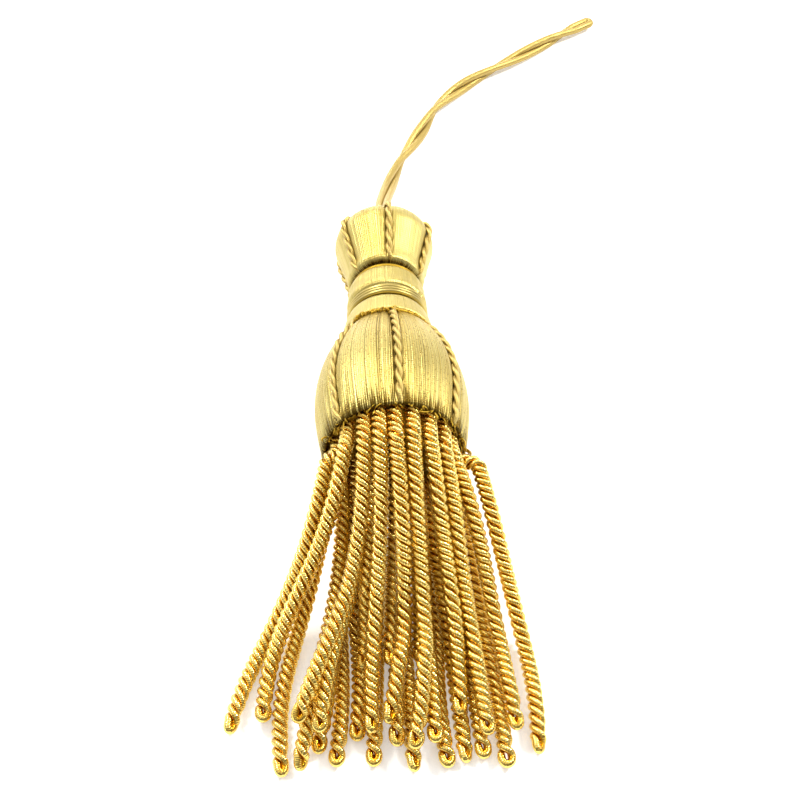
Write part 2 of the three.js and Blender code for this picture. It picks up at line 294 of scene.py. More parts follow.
def drawn(along, across, scale, detail):
    """How a smooth yarn is drawn: fine lines along it, from noise with one scale along the yarn and another across."""
    def draw(canvas, look):
        run, around = winding_place(canvas)
        place = canvas.node("ShaderNodeCombineXYZ", {}, {0: run * along, 1: around * across})
        lines = cloudy(canvas, place, scale, detail)
        return lit(look, lines, attribute(canvas, "tone")), lines, lines

    return draw


satin_gold = gold_finish("satin_gold", drawn(along=0.05, across=14.0, scale=3.0, detail=3.0), SATIN)

# %% Route of the cord
HEAD_X, MOUTH_Y = 3.5, -6.15
CORD_PLY, CORD_SIDES, CORD_STEP = 1.75, 16, 0.6
# The eye takes the place of the last points of the line.
CORD_EYE_POINTS = 3
CORD_ROUTE = [
    (0, 67.1, 11.9), (0, 71.5, 11.4), (0, 75.5, 10.4), (0.4, 80, 8.6), (1.2, 85.5, 6.2), (2.2, 91, 4), (3.6, 97, 2.4),
    (5.3, 102.4, 1.8), (8, 107.8, 1.8), (11.3, 114.6, 1.8), (15, 122.4, 1.8), (19.2, 127.8, 1.8), (24, 132.6, 1.8),
    (30, 137.4, 1.8), (37.2, 142.6, 1.8), (43.4, 147.2, 1.8), (50.5, 152.4, 1.8), (56, 156.2, 1.8), (59.3, 158.2, 1.8),
]
# How many half turns the legs have made at a run along the cord.
CORD_TWIST = {0: -0.25, 12: -0.1, 25: 0.1, 36: 0.5, 56: 1.5, 76.5: 2.5, 102: 3.5, 111: 4.0, 120: 4.0}

cord_line = smooth_line(np.array(CORD_ROUTE) + (HEAD_X, MOUTH_Y, 0), CORD_STEP)
print("cord", round(runs(cord_line)[-1], 1), "mm long")


# %% One yarn, doubled
EYE_STEPS = 12


def there_and_back(there, back):
    """Values along a doubled yarn: those of the leg out, a soft change round the eye, and those of the leg back."""
    return np.concatenate([there, np.linspace(there[-1], back[-1], EYE_STEPS)[1:-1], back[::-1]])


def beside(line, phase, spread):
    """The way from a line to a yarn that turns about it. Phase is the turn, from right towards up, and spread the
    distance."""
    _, right, up = directions(line)
    aside = np.cos(phase)[:, None] * right + np.sin(phase)[:, None] * up
    return np.broadcast_to(spread, len(line))[:, None] * aside


def doubled(line, phase, spread, nose, radius, sides, tones=(0.0, 0.0), flat=1.0, apart=math.pi):
    """A yarn that runs along a line, turns round a nose at its end and comes back. The leg out turns about the line by
    its phase, and the leg back lies so far apart from it, which is half a turn at the nose."""
    leg, back = beside(line, phase, spread), beside(line, phase + apart, spread)
    bend = np.linspace(0, math.pi, EYE_STEPS)[1:-1, None]
    eye = np.cos(bend) * leg[-1] + np.sin(bend) * nose * directions(line)[0][-1]
    path = np.concatenate([line + leg, line[-1] + eye, (line + back)[::-1]])
    tone, radius, flat = (
        there_and_back(*(np.broadcast_to(value, len(line)) for value in pair))
        for pair in (tones, (radius, radius), (flat, flat))
    )
    return yarn(path, np.concatenate([leg, eye, back[::-1]]), radius, sides, tone, flat)


cord_run = runs(cord_line)
cord_phase = -math.pi * np.interp(cord_run, list(CORD_TWIST), list(CORD_TWIST.values()))
legs, legs_phase = cord_line[:-CORD_EYE_POINTS], cord_phase[:-CORD_EYE_POINTS]
cord = add_yarns(
    "hanging_cord", [doubled(legs, legs_phase, CORD_PLY / 2, CORD_PLY / 2, CORD_PLY / 2, CORD_SIDES)],
)
dress(cord, satin_gold, "hang_cord", "hang_cord")

# %% [markdown]
# ## Place of the head
# The head is turned about its own axis, so its pieces are drawn about the Y axis in millimetres, from the bell's
# mouth at zero to the top of the knob. Then they are laid down: the head rests on a rib of the bell and one of the
# knob.

# %% Lay the head on the table
BELL_REST, KNOB_REST = (12.0, 15.0), (61.5, 10.7)
RIB_OUT, RIB_RADIUS, RIB_PRESS, RIB_CARRIER = 1.0, 0.7, 0.15, 186

head_tilt = math.asin((BELL_REST[1] - KNOB_REST[1]) / (KNOB_REST[0] - BELL_REST[0]))
rest_height = (BELL_REST[1] + RIB_OUT) * -math.cos(math.radians(RIB_CARRIER)) + RIB_RADIUS - RIB_PRESS
mouth_z = rest_height * math.cos(head_tilt) + BELL_REST[0] * math.sin(head_tilt)
head_turn = Matrix.Rotation(-head_tilt, 4, "X")
head_place = Matrix.Translation((HEAD_X, MOUTH_Y, mouth_z)) @ head_turn
turn_to_table = np.array(head_turn.to_3x3()).T


def on_head(points):
    """Points of the head, laid down with it."""
    return np.array(points) @ turn_to_table + np.array(head_place.translation)


def lay_down(piece):
    """Puts a piece that was drawn in millimetres about the Y axis where the head lies, in its mesh."""
    piece.data.transform(Matrix.Scale(MM, 4) @ head_place)


print("the head's axis falls", round(math.degrees(head_tilt), 2), "degrees towards the knob")

# %% [markdown]
# ## Turned moulds and their thread
# Bell, neck and knob are wooden moulds turned on a lathe. An outline drawn vertex by vertex and spun round the axis
# is the same work in Blender. The covering is laid thread beside thread along the mould. Flat bump would not catch
# light along a band, as the real threads do, so each thread is a real ridge: the spin makes a few columns of points a
# thread.

# %% Finish of the laid thread
BELL_THREAD = Look(
    light=(0.63, 0.525, 0.18, 1), deep=(0.46, 0.32, 0.06, 1), mean=0.6, shares=(0.3, 0.25, 0.25, 0.14),
    rough=0.3, rough_share=0.1, relief=0.025, metallic=0.75,
)
# On the knob and the neck the ribs of the wire show in the relief alone.
KNOB_THREAD = BELL_THREAD._replace(shares=(0.3, 0.25, 0.25), rough=0.34, relief=0.03)
# The colour of the painted shade on the covering: in the gaps between threads, in the hem and beside the ribs.
THREAD_SHADE = (0.08, 0.045, 0.003, 1)
PATCHES, GRAINS, GRAIN_DETAIL, GRAIN_HEIGHT = 160.0, 1800.0, 1.0, 0.3
WIRE_RIBS, WIRE_WANDER, WIRE_HEIGHT = 1.9, 0.6, 0.4


def laid_thread(gap_shade_weight):
    """How the covering is drawn, with painted shade so dark in the gaps between its threads."""
    def draw(canvas, look):
        tone, gap_shade, dark, along = (attribute(canvas, name) for name in ("tone", "gap_shade", "dark", "along"))
        patch = cloudy(canvas, object_place(canvas), PATCHES)
        grain = cloudy(canvas, object_place(canvas), GRAINS, GRAIN_DETAIL)
        wire = wave(canvas, along * WIRE_RIBS + patch * WIRE_WANDER)
        # Painted shade: the gaps, the hem and the lines beside the ribs are mixed towards the shade colour.
        colour = (gap_shade * gap_shade_weight + dark).clamp().mix(lit(look, tone, patch, grain, wire), THREAD_SHADE)
        return colour, grain, wire * WIRE_HEIGHT + grain * GRAIN_HEIGHT

    return draw


bell_thread = gold_finish("bell_thread", laid_thread(gap_shade_weight=0.6), BELL_THREAD)
knob_thread = gold_finish("knob_thread", laid_thread(gap_shade_weight=0.25), KNOB_THREAD)


# %% Spin an outline
COLUMNS = 4
DOUBLES = 0.005


def turned(name, outline, threads):
    """A mould spun from its outline, rows of distance from the mouth and radius, with columns for its threads."""
    bpy.ops.object.select_all(action="DESELECT")
    bpy.ops.mesh.primitive_plane_add(size=1)
    piece = bpy.context.object
    piece.name = piece.data.name = name
    bpy.ops.object.mode_set(mode="EDIT")
    bpy.ops.mesh.merge(type="CENTER")
    bpy.ops.transform.translate(value=(0, outline[0][0], outline[0][1]))
    for s, r in np.diff(outline, axis=0):
        bpy.ops.mesh.extrude_vertices_move(TRANSFORM_OT_translate={"value": (0, s, r)})
    bpy.ops.mesh.select_all(action="SELECT")
    bpy.ops.mesh.spin(steps=threads * COLUMNS, angle=2 * math.pi, center=(0, 0, 0), axis=(0, 1, 0))
    bpy.ops.mesh.select_all(action="SELECT")
    bpy.ops.mesh.remove_doubles(threshold=DOUBLES)
    bpy.ops.mesh.normals_make_consistent(inside=False)
    bpy.ops.object.mode_set(mode="OBJECT")
    print(name, "spun:", len(piece.data.vertices), "points")
    return piece


# %% Pull the covering in under the ribs
VALLEY_HALF, VALLEY_END = 1.3, 4.0


def end_fade(s, outline):
    """0 at the ends of an outline and 1 away from them."""
    return ease((s - outline[0][0]) / VALLEY_END) * ease((outline[-1][0] - s) / VALLEY_END)


def pulled_in(turn, radius, ribs):
    """How far the ribs pull the covering in at a place, as a share; the rib that carries the head stands on it."""
    pull = np.zeros(len(turn))
    for rib in set(ribs) - {RIB_CARRIER}:
        aside = np.radians((turn - rib + 180) % 360 - 180) * radius
        pull = np.maximum(pull, np.exp(-((aside / VALLEY_HALF) ** 2)))
    return pull


# %% Follow the threads
THREAD_SHIFT, THREAD_WAVES = 0.25, (0.1, 0.35)


def follow_threads(points, threads):
    """The thread of each point of a mould, its turn round the axis, and how far it is up the ridge of its thread. The
    edges of the threads waver, each in its own way."""
    s = points[:, 1]
    column = np.rint(np.arctan2(points[:, 0], points[:, 2]) / (2 * math.pi) * threads * COLUMNS).astype(int)
    whole, across = column // COLUMNS, column % COLUMNS / COLUMNS
    shift, waver = random.uniform(-THREAD_SHIFT, THREAD_SHIFT, (2, threads))
    waves, starts = random.uniform(*THREAD_WAVES, threads), random.uniform(0, 2 * math.pi, threads)

    def edge(k):
        sway = waver[k % threads] * np.sin(waves[k % threads] * s + starts[k % threads])
        return (k + shift[k % threads] + sway) * 2 * math.pi / threads

    turn = edge(whole) * (1 - across) + edge(whole + 1) * across
    return whole % threads, turn, np.sqrt(1 - (2 * across - 1) ** 2)


# %% Raise the threads
Covering = namedtuple("Covering", "threads depth open_share hem bands crowd ribs valley", defaults=[0.0, (), 0.0])
GAP_OPEN, GAP_RANGE, GAP_CLOSED, GAP_MOST = 3.0, (0.5, 1.2), 0.7, 1.6
OPEN_AT_MOUTH, FULL_DEPTH_RADIUS, NEIGHBOURS = 0.25, 6.0, 9
# The hem and the lines beside the ribs are painted shade; in the hem the ridges of the threads are painted lighter.
HEM_RANGE, HEM_MEAN, HEM_SWING, HEM_SHADE, HEM_RIDGE = (0.3, 1.0), 0.6, 0.4, 1.5, 0.4
RIB_SHADE, RIB_LINE, RIB_LINE_EDGE = 0.6, 0.45, 0.3


def lay_threads(piece, outline, cover):
    """Moves each column of a mould to its thread and sinks the gaps between threads. Some gaps stand open, more so
    towards the top, and all do in the hem, where the threads turn in, most on the upper side. The gaps are painted in
    shade. Bands is how much of a thread's random colour it shares with its neighbours, and the threads are painted in
    shade, as far as the cover asks, where the mould is narrow. Dark holds the painted shade of the hem and of the lines
    beside the ribs."""
    mesh, threads = piece.data, cover.threads
    points = np.empty(3 * len(mesh.vertices))
    mesh.vertices.foreach_get("co", points)
    points = points.reshape(-1, 3)
    radius, s = np.hypot(points[:, 0], points[:, 2]), points[:, 1]
    thread, turn, ridge = follow_threads(points, threads)
    low, high = min(row[0] for row in outline), outline[-1][0]
    opened = np.where(random.random(threads) < cover.open_share, GAP_OPEN, 1.0) * random.uniform(*GAP_RANGE, threads)
    to_top = OPEN_AT_MOUTH + (1 - OPEN_AT_MOUTH) * ease((s - low) / (high - low))
    opening = GAP_CLOSED + (opened[thread] - GAP_CLOSED) * to_top
    hem = random.uniform(*HEM_RANGE, threads)[thread] * cover.hem * (HEM_MEAN + HEM_SWING * np.cos(turn))
    in_hem = ease(1 - (s - low) / hem)
    sink = np.clip(radius / FULL_DEPTH_RADIUS, 0, 1) * (cover.depth * opening * (1 + in_hem) * (1 - ridge))
    pull = end_fade(s, outline) * pulled_in(np.degrees(turn), radius, cover.ribs)
    laid = radius - sink - cover.valley * pull
    mesh.vertices.foreach_set("co", np.stack([laid * np.sin(turn), s, laid * np.cos(turn)], axis=1).ravel())
    # Painted shade in the hem, lighter on the ridges of the threads.
    hem_shade = in_hem * (HEM_SHADE - (HEM_RIDGE + random.uniform(0, 1, threads)[thread]) * ridge)
    tones = random.uniform(-1, 1, threads)
    broad = np.convolve(np.tile(tones, 3), np.ones(NEIGHBOURS) / math.sqrt(NEIGHBOURS), "same")[threads:-threads]
    # Painted shade: darker where the mould is narrow, in the gaps, in the hem and in the lines beside the ribs.
    values = {
        "tone": (tones * (1 - cover.bands) + broad * cover.bands)[thread] - cover.crowd * (1 - radius / radius.max()),
        "gap_shade": (1 - ridge) * np.minimum(opening, GAP_MOST),
        "dark": hem_shade + RIB_SHADE * ease((pull - RIB_LINE) / RIB_LINE_EDGE),
        "along": s,
    }
    for name, column in values.items():
        mesh.attributes.new(name, "FLOAT", "POINT").data.foreach_set("value", column)
    mesh.shade_smooth()


def add_mould(name, start, outline, step, end, cover, finish):
    """A covered mould in its place. Start and end are the rows before and after the outline, which are out of sight."""
    piece = turned(name, [*start, *smooth_line(outline, step), end], cover.threads)
    lay_threads(piece, outline, cover)
    lay_down(piece)
    dress(piece, finish, "covering_thread", name)


# %% Bell
OUTLINE_STEP = 0.9
BELL_OUTLINE = [
    (0.4, 13.5), (2.0, 13.9), (5.0, 14.4), (12.0, 15.0), (17.0, 14.6), (22.0, 13.4), (27.0, 11.3), (30.5, 9.3),
    (33.9, 7.1),
]
BELL_MOUTH = [(4.6, 0.0), (4.6, 12.8), (2.0, 12.75), (0.7, 12.75), (0.25, 13.0), (0.2, 13.25)]
BELL_TOP = (34.0, 0.0)
# The bell is painted in shade towards its narrow top.
BELL_COVER = Covering(
    threads=200, depth=0.16, open_share=0.3, hem=6.5, bands=0.3, crowd=5.0,
    ribs=(5, 56, 117, 186, 249, 311), valley=0.7,
)

add_mould("bell", BELL_MOUTH, BELL_OUTLINE, OUTLINE_STEP, BELL_TOP, BELL_COVER, bell_thread)

# %% Neck
NECK_STEP = 0.45
NECK_OUTLINE = [
    (34.0, 6.4), (33.8, 7.6), (32.6, 8.3), (31.3, 8.95), (31.0, 9.15), (31.3, 9.4), (32.6, 9.3), (34.2, 9.0),
    (35.7, 8.65), (36.6, 8.25), (37.0, 7.6), (38.6, 7.5), (40.2, 7.6), (40.7, 8.1), (43.5, 8.1), (45.6, 7.95),
    (46.4, 7.6), (46.8, 7.0), (46.9, 6.0),
]
NECK_FOOT, NECK_TOP = (34.0, 0.0), (46.9, 0.0)
NECK_COVER = Covering(threads=150, depth=0.1, open_share=0.15, hem=0.6, bands=0.7)

add_mould("neck", [NECK_FOOT], NECK_OUTLINE, NECK_STEP, NECK_TOP, NECK_COVER, knob_thread)

# %% Knob
KNOB_OUTLINE = [
    (48.4, 7.1), (48.8, 7.75), (51.2, 8.3), (54.5, 9.1), (58.0, 10.0), (61.5, 10.7), (64.0, 10.0), (65.8, 7.6),
    (66.8, 3.0),
]
KNOB_SPIGOT = [(46.3, 0.0), (46.3, 6.0), (48.7, 6.0)]
KNOB_TOP = (66.9, 0.0)
KNOB_COVER = Covering(
    threads=150, depth=0.09, open_share=0.1, hem=0.8, bands=0.8, ribs=(6, 66, 126, 186, 246, 306), valley=0.4,
)

add_mould("knob", KNOB_SPIGOT, KNOB_OUTLINE, OUTLINE_STEP, KNOB_TOP, KNOB_COVER, knob_thread)

# %% [markdown]
# ## Ribs
# Six gimp cords run over each mould and pull its covering in. A gimp is two wound yarns twisted together. One rib is
# modelled at the top of a mould, and copies are turned round the axis; the one below carries the head, so it is not
# sunk.

# %% Finish of the gimp
# Painted light and shade: light on each yarn's crest, deep on its inner side.
GIMP = Look(
    light=(0.64, 0.48, 0.15, 1), deep=(0.24, 0.14, 0.02, 1), mean=0.55, shares=(0.35, 0.25, 0.08),
    rough=0.36, rough_share=0.1, relief=0.02, metallic=0.75,
)


def wire_wound(ribs, patches, worn):
    """How a yarn of wound wire is drawn: painted light on its outer side and painted shade on its inner side, ribbed
    by the wire and rubbed in patches. Worn is how much of the rubbing its height shows."""
    def draw(canvas, look):
        run, around = winding_place(canvas)
        wire = wave(canvas, run * ribs + around)
        rubbed = cloudy(canvas, object_place(canvas), patches)
        # Painted light on the crest of the yarn and painted shade on its inner side.
        colour = lit(look, crest(canvas, around), rubbed, wire, attribute(canvas, "tone"))
        return colour, rubbed, wire + rubbed * worn

    return draw


gimp_gold = gold_finish("gimp_gold", wire_wound(ribs=3.3, patches=600.0, worn=0.0), GIMP)

# %% One rib of each mould, and its copies
RIB_CREST, RIB_SIDES, RIB_STEP = 3.3, 10, 0.3
RIB_PLY, RIB_SPREAD, RIB_SEAT, RIB_DIVE, RIB_END = 0.45, 0.33, 0.5, 1.1, 2.5
TABLE_TOP = (-math.inf, -math.inf, 0)


def rib_plies(curve, lift):
    """The two yarns of a rib over an outline, at the top of a mould, lifted off the outline so far."""
    slope = unit(np.gradient(curve, axis=0))
    lift = np.broadcast_to(lift, len(curve))
    nought = np.zeros(len(curve))
    line = np.stack([nought, curve[:, 0] - slope[:, 1] * lift, curve[:, 1] + slope[:, 0] * lift], axis=1)
    out = np.stack([nought, -slope[:, 1], slope[:, 0]], axis=1)
    phase = runs(line)[:, None] / RIB_CREST * math.pi
    aside = np.cos(phase) * (1, 0, 0) + np.sin(phase) * out
    return [yarn(line + side * RIB_SPREAD * aside, side * aside, RIB_PLY, RIB_SIDES) for side in (1, -1)]


def add_ribs(name, outline, cover):
    """The ribs of a mould. Each lies in its valley and dives under the covering at its ends."""
    curve = smooth_line(outline, RIB_STEP)
    carrier = rib_plies(curve, RIB_OUT + RIB_RADIUS - RIB_PRESS - RIB_PLY - RIB_SPREAD)
    inside = ease(np.minimum(curve[:, 0] - outline[0][0], outline[-1][0] - curve[:, 0]) / RIB_END)
    sunk = rib_plies(curve, RIB_SEAT - cover.valley * end_fade(curve[:, 0], outline) - RIB_DIVE * (1 - inside))
    for k, turn in enumerate(cover.ribs, start=1):
        spin = np.array(Matrix.Rotation(math.radians(turn), 3, "Y"))
        plies = carrier if turn == RIB_CARRIER else sunk
        placed = [ply._replace(points=on_head(ply.points @ spin.T).clip(min=TABLE_TOP)) for ply in plies]
        dress(add_yarns(f"{name}_{k}", placed), gimp_gold, "rib_cord", f"{name}_{k}")


add_ribs("bell_rib", BELL_OUTLINE, BELL_COVER)
add_ribs("knob_rib", KNOB_OUTLINE, KNOB_COVER)

# %% [markdown]
# ## Windings
# The threads are bound down at the neck with a few close turns of gold wire, and amber thread fills the grooves above
# and below it. Each is one yarn that climbs as it goes round the axis.

# %% Finish of the wire and the amber thread
WIRE = Look(
    light=(0.58, 0.45, 0.14, 1), deep=(0.38, 0.28, 0.07, 1), mean=0.6, shares=(0.5, 0.3),
    rough=0.34, rough_share=0.06, relief=0.02, metallic=0.9,
)
AMBER = WIRE._replace(light=(0.64, 0.41, 0.035, 1), deep=(0.30, 0.15, 0.012, 1), metallic=0.5)

wire_lines = drawn(along=0.08, across=9.0, scale=2.0, detail=2.0)
binding_gold = gold_finish("binding_gold", wire_lines, WIRE)
amber_thread = gold_finish("amber_thread", wire_lines, AMBER)

# %% Wind them round the neck
Winding = namedtuple("Winding", "first last turns radius sides")
BINDING = Winding((37.5, 8.0), (39.8, 8.0), turns=3, radius=0.43, sides=12)
GROOVES = [Winding((46.9, 7.1), (47.4, 7.0), 2, 0.3, 8), Winding((30.5, 9.35), (31.2, 9.0), 2, 0.3, 8)]
WIND_STEPS, WIND_START = 96, 180.0


def wound_round(winding):
    """A yarn that winds round the axis from one place to another, each a distance from the mouth and from the axis."""
    share = np.linspace(0, 1, winding.turns * WIND_STEPS + 1)
    turn = math.radians(WIND_START) + 2 * math.pi * winding.turns * share
    away = np.stack([np.sin(turn), np.zeros(len(turn)), np.cos(turn)], axis=1)
    s, out = (start + (end - start) * share[:, None] for start, end in zip(winding.first, winding.last))
    return yarn(on_head(out * away + s * (0, 1, 0)), away @ turn_to_table, winding.radius, winding.sides)


dress(add_yarns("neck_binding", [wound_round(BINDING)]), binding_gold, "binding_wire", "neck_binding")
dress(add_yarns("groove_thread", [wound_round(groove) for groove in GROOVES]), amber_thread, "covering_thread")

# %% [markdown]
# ## Bullion fringe
# Each strand is one wound yarn, doubled and twisted tightly on itself, so it ends in a small eye. A third yarn fills
# the twist, because two alone would lie too flat. The strands leave the mouth in a ring, fall on the table and lie
# over each other. A physics run would give another tangle each time, so each strand has a row of sizes, and the
# strands are laid one after another from the lowest up, each over those below it.

# %% Finish of the bullion
# Painted light and shade: light on each yarn's crest, deep on its inner side, at the roots and on the core.
BULLION = Look(
    light=(0.91, 0.68, 0.19, 1), deep=(0.61, 0.295, 0.009, 1), mean=0.32, shares=(0.65, 0.25, 0.1, 0.2),
    rough=0.18, rough_share=0.06, relief=0.015, metallic=1.0,
)

bullion_gold = gold_finish("bullion_gold", wire_wound(ribs=3.2, patches=900.0, worn=1.0), BULLION)

# %% Strands: root, tip and eye
# The root's turn from the top of the mouth and its ring, how far the strand springs out at the lip, where its tip lies
# from the middle of the mouth, its bow and sway to the right, the width and turn of its eye, and how tight its end is.
Strand = namedtuple("Strand", "turn ring flare tip_x tip_y bow sway eye eye_turn slack", defaults=[1.0])
STRANDS = [Strand(*row) for row in (
    (-97, "outer", 0.5, -21.3, -56.0, -2.5, 1.0, 0.62, 15, 0.75),
    (-115, "outer", 0.0, -18.2, -55.0, 1.5, 0.5, 0.62, 40),
    (-132, "outer", 0.0, -15.1, -52.0, 0.5, 0.0, 0.68, 10),
    (-148, "outer", 0.0, -12.0, -54.5, -2.0, -1.0, 0.76, 0),
    (-164, "outer", 0.0, -5.5, -54.7, 0.0, 0.0, 0.74, 0),
    (180, "outer", 0.0, 1.4, -55.9, 0.0, 0.0, 0.62, 40),
    (164, "outer", 0.0, 7.3, -55.4, 1.5, 1.0, 0.76, 5),
    (148, "outer", 0.0, 10.4, -54.6, 0.5, 0.0, 0.62, 40),
    (132, "outer", 0.0, 13.6, -54.0, 0.5, 0.0, 0.76, 0),
    (115, "outer", 1.5, 17.5, -55.8, 1.0, 0.0, 0.9, 0),
    (87, "outer", 4.6, 23.1, -53.4, 2.2, -0.5, 0.62, 40),
    (-76, "outer", 2.0, -30.6, -47.6, 0.0, 1.3, 0.62, 40),
    (-115, "inner", 0.0, -14.7, -50.0, 1.5, 1.0, 0.76, 5),
    (-150, "inner", 0.0, -8.3, -50.0, -2.0, -1.0, 0.74, 0),
    (180, "inner", 0.0, -1.4, -51.8, 0.0, 0.0, 0.74, 10),
    (145, "inner", 0.0, 5.3, -52.0, 0.0, 0.0, 0.76, 0),
    (-52, "outer", 0.5, -24.7, -46.0, -1.3, 1.7, 0.76, 10),
    (73, "outer", 0.5, 19.6, -49.7, 1.6, 0.2, 0.68, 0),
    (-30, "outer", 0.0, -18.4, -48.6, 3.0, 0.2, 0.74, 10),
    (56, "outer", 0.0, 14.4, -51.0, 0.3, 0.0, 0.76, 0),
    (-14, "outer", 0.0, -5.7, -50.0, 0.2, 0.4, 0.68, 30),
    (36, "outer", 0.0, 9.8, -47.1, 0.9, -0.3, 0.68, 20),
    (1, "outer", 0.0, -2.7, -49.0, 2.1, -0.3, 0.62, 40),
    (18, "outer", 0.0, 1.6, -53.2, 1.6, -0.6, 0.76, 0),
    (180, "core", 0.0, -2.2, -38.0, 0.0, 0.0, 0.5, 0),
    (110, "core", 0.0, 3.2, -38.0, 0.0, 0.0, 0.5, 0),
    (-110, "core", 0.0, -7.0, -38.0, 0.0, 0.0, 0.5, 0),
)]
print(len(STRANDS), "strands")

# %% Lay the strands from the lowest up
STRAND_D = 3.06
ROOT_RING = {"outer": 11.0, "inner": 7.6, "core": 4.2}
ROOT_S, ROOT_EXIT, CLEAR_OF_LIP = 2.5, -2.0, -4.8
LAND_NEAR, LAND_FAR, LAND_HEIGHT = 0.3, 0.85, 27.0
SAMPLES, HELD, EASINGS = 40, 3, 12


def free_route(strand):
    """A strand's way out of the mouth, down to the table and along to its tip, with no other strand there."""
    turn, ring = math.radians(strand.turn), ROOT_RING[strand.ring]
    roots = [(ring, ROOT_S), (ring, ROOT_EXIT), (ring + strand.flare, CLEAR_OF_LIP)]
    held = on_head([(r * math.sin(turn), s, r * math.cos(turn)) for r, s in roots])
    start = held[-1]
    u = np.linspace(0, 1, SAMPLES + 1)
    table = STRAND_D / 2
    landing = LAND_NEAR + (LAND_FAR - LAND_NEAR) * (start[2] - table) / LAND_HEIGHT
    x = start[0] + (HEAD_X + strand.tip_x - start[0]) * u
    x += strand.bow * np.sin(math.pi * u) + strand.sway * np.sin(2 * math.pi * u)
    y = start[1] + (MOUTH_Y + strand.tip_y - start[1]) * u
    z = start[2] + (table - start[2]) * ease(u / landing)
    return np.concatenate([held[:-1], np.stack([x, y, z], axis=1)])


def clear_heights(route, laid):
    """The least height of each point over the table and over the strands already laid."""
    aside = np.hypot(*(route[:, None, :2] - laid[None, :, :2]).transpose(2, 0, 1))
    over = np.where(aside < STRAND_D, laid[:, 2] + np.sqrt(np.maximum(STRAND_D**2 - aside**2, 0)), 0)
    return np.maximum(over.max(axis=1, initial=0), STRAND_D / 2)


def lay_strand(strand, laid):
    """A strand's way over those already laid, with its bends eased where nothing is in the way."""
    route = free_route(strand)
    clear = clear_heights(route, laid)
    heights = np.concatenate([route[:HELD, 2], np.maximum(route, clear[:, None])[HELD:, 2]])
    for _ in range(EASINGS):
        between = (heights[HELD - 1:-2] + heights[HELD + 1:]) / 2
        heights[HELD:-1] = np.maximum(clear[HELD:-1], between)
    route[:, 2] = heights
    return route


laid = np.empty((0, 3))
routes = {}
for strand in sorted(STRANDS, key=lambda row: ROOT_RING[row.ring] * math.cos(math.radians(row.turn))):
    routes[strand] = lay_strand(strand, laid)
    laid = np.concatenate([laid, routes[strand]])
print("highest strand", round(laid[:, 2].max(), 1), "mm over the table")

# %% Twist of a strand
TWIST_PITCH, TWIST_LOOSER, SLACK_RUN = 4.2, 0.9, 15.0
UNEVEN, UNEVEN_RUN, UNEVEN_LEAST, UNEVEN_START = 0.22, 2.9, 0.3, 6.0
EYE_THROAT, EYE_NOSE = 1.5, 1.15


def twist(strand, run):
    """The pitch of a strand's twist along its run, and how far it has turned there. The twist is uneven, gets looser
    towards the tip, and stands still in the eye."""
    to_eye = run[-1] - run
    uneven = 1 + UNEVEN * np.sin(run / UNEVEN_RUN + random.uniform(0, UNEVEN_START)) * random.uniform(UNEVEN_LEAST, 1)
    slack = 1 + (strand.slack - 1) * ease(1 - to_eye / SLACK_RUN)
    pitch = TWIST_PITCH + TWIST_LOOSER * run / run[-1]
    rate = 2 * math.pi / pitch * uneven * slack * ease(to_eye / EYE_THROAT)
    turned_by = np.concatenate([[0], np.cumsum((rate[1:] + rate[:-1]) / 2 * np.diff(run))])
    return pitch, math.radians(strand.eye_turn) + turned_by - turned_by[-1]


# %% Yarns of a strand
STRAND_STEP, STRAND_SIDES = 0.18, 10
PLY_OUT, PLY_FLAT, PLY_SPREAD, EYE_PLY = 0.66, 0.78, 0.87, 0.76
THIRD, FILLER_END = 2 * math.pi / 3, 0.3
# The core is painted in deep shade, where it shows between the turns.
CORE_RADIUS, CORE_SIDES, CORE_SKIP, CORE_SHADE = 0.7, 8, 3, -3.0
# Random colour of a strand, legs painted lighter and darker, painted shadow at the roots and how far it runs.
TONE_RANGE, LEG_LIGHT_AND_SHADE, ROOT_SHADE, ROOT_RUN = 0.6, 0.4, 2.6, 9.0


def twisted(strand):
    """A strand: a yarn that is doubled and twisted about its line, a third that fills the twist as far as the throat
    of the eye, and the core, painted in deep shade, that shows between their turns. Its roots are painted in shadow,
    and one leg is painted lighter than the other, as painted light and shade."""
    line = smooth_line(routes[strand], STRAND_STEP)
    run = runs(line)
    turn_back = run[-1] - EYE_NOSE
    line, run = line[run <= turn_back], run[run <= turn_back]
    to_eye = run[-1] - run
    at_eye = ease(1 - to_eye / EYE_THROAT)
    pitch, phase = twist(strand, run)
    # A random colour for the strand, with painted shadow at its roots under the hem.
    tone = random.uniform(-TONE_RANGE, TONE_RANGE) - ROOT_SHADE * ease(1 - run / ROOT_RUN)
    full = PLY_FLAT * pitch / TWIST_PITCH
    spread, thick, flat, apart = (
        usual + (in_eye - usual) * at_eye
        for usual, in_eye in ((PLY_SPREAD, strand.eye), (PLY_OUT, EYE_PLY), (full, 1), (THIRD, math.pi))
    )
    # One leg is painted lighter and the other darker, as lit and shaded legs of one yarn.
    tones = (tone + LEG_LIGHT_AND_SHADE, tone - LEG_LIGHT_AND_SHADE)
    loop = doubled(line, phase, spread, EYE_NOSE, thick, STRAND_SIDES, tones, flat, apart)
    kept = to_eye > EYE_THROAT
    shrunk = FILLER_END + (1 - FILLER_END) * ease(to_eye / EYE_THROAT - 1)
    filler = beside(line, phase - THIRD, PLY_SPREAD * shrunk)[kept]
    inside = line[kept][::CORE_SKIP]
    return [
        loop,
        yarn(line[kept] + filler, filler, PLY_OUT, STRAND_SIDES, tone[kept], full[kept]),
        yarn(inside, directions(inside)[2], CORE_RADIUS, CORE_SIDES, CORE_SHADE),
    ]


# %% Three bundles of strands
BUNDLE = 9

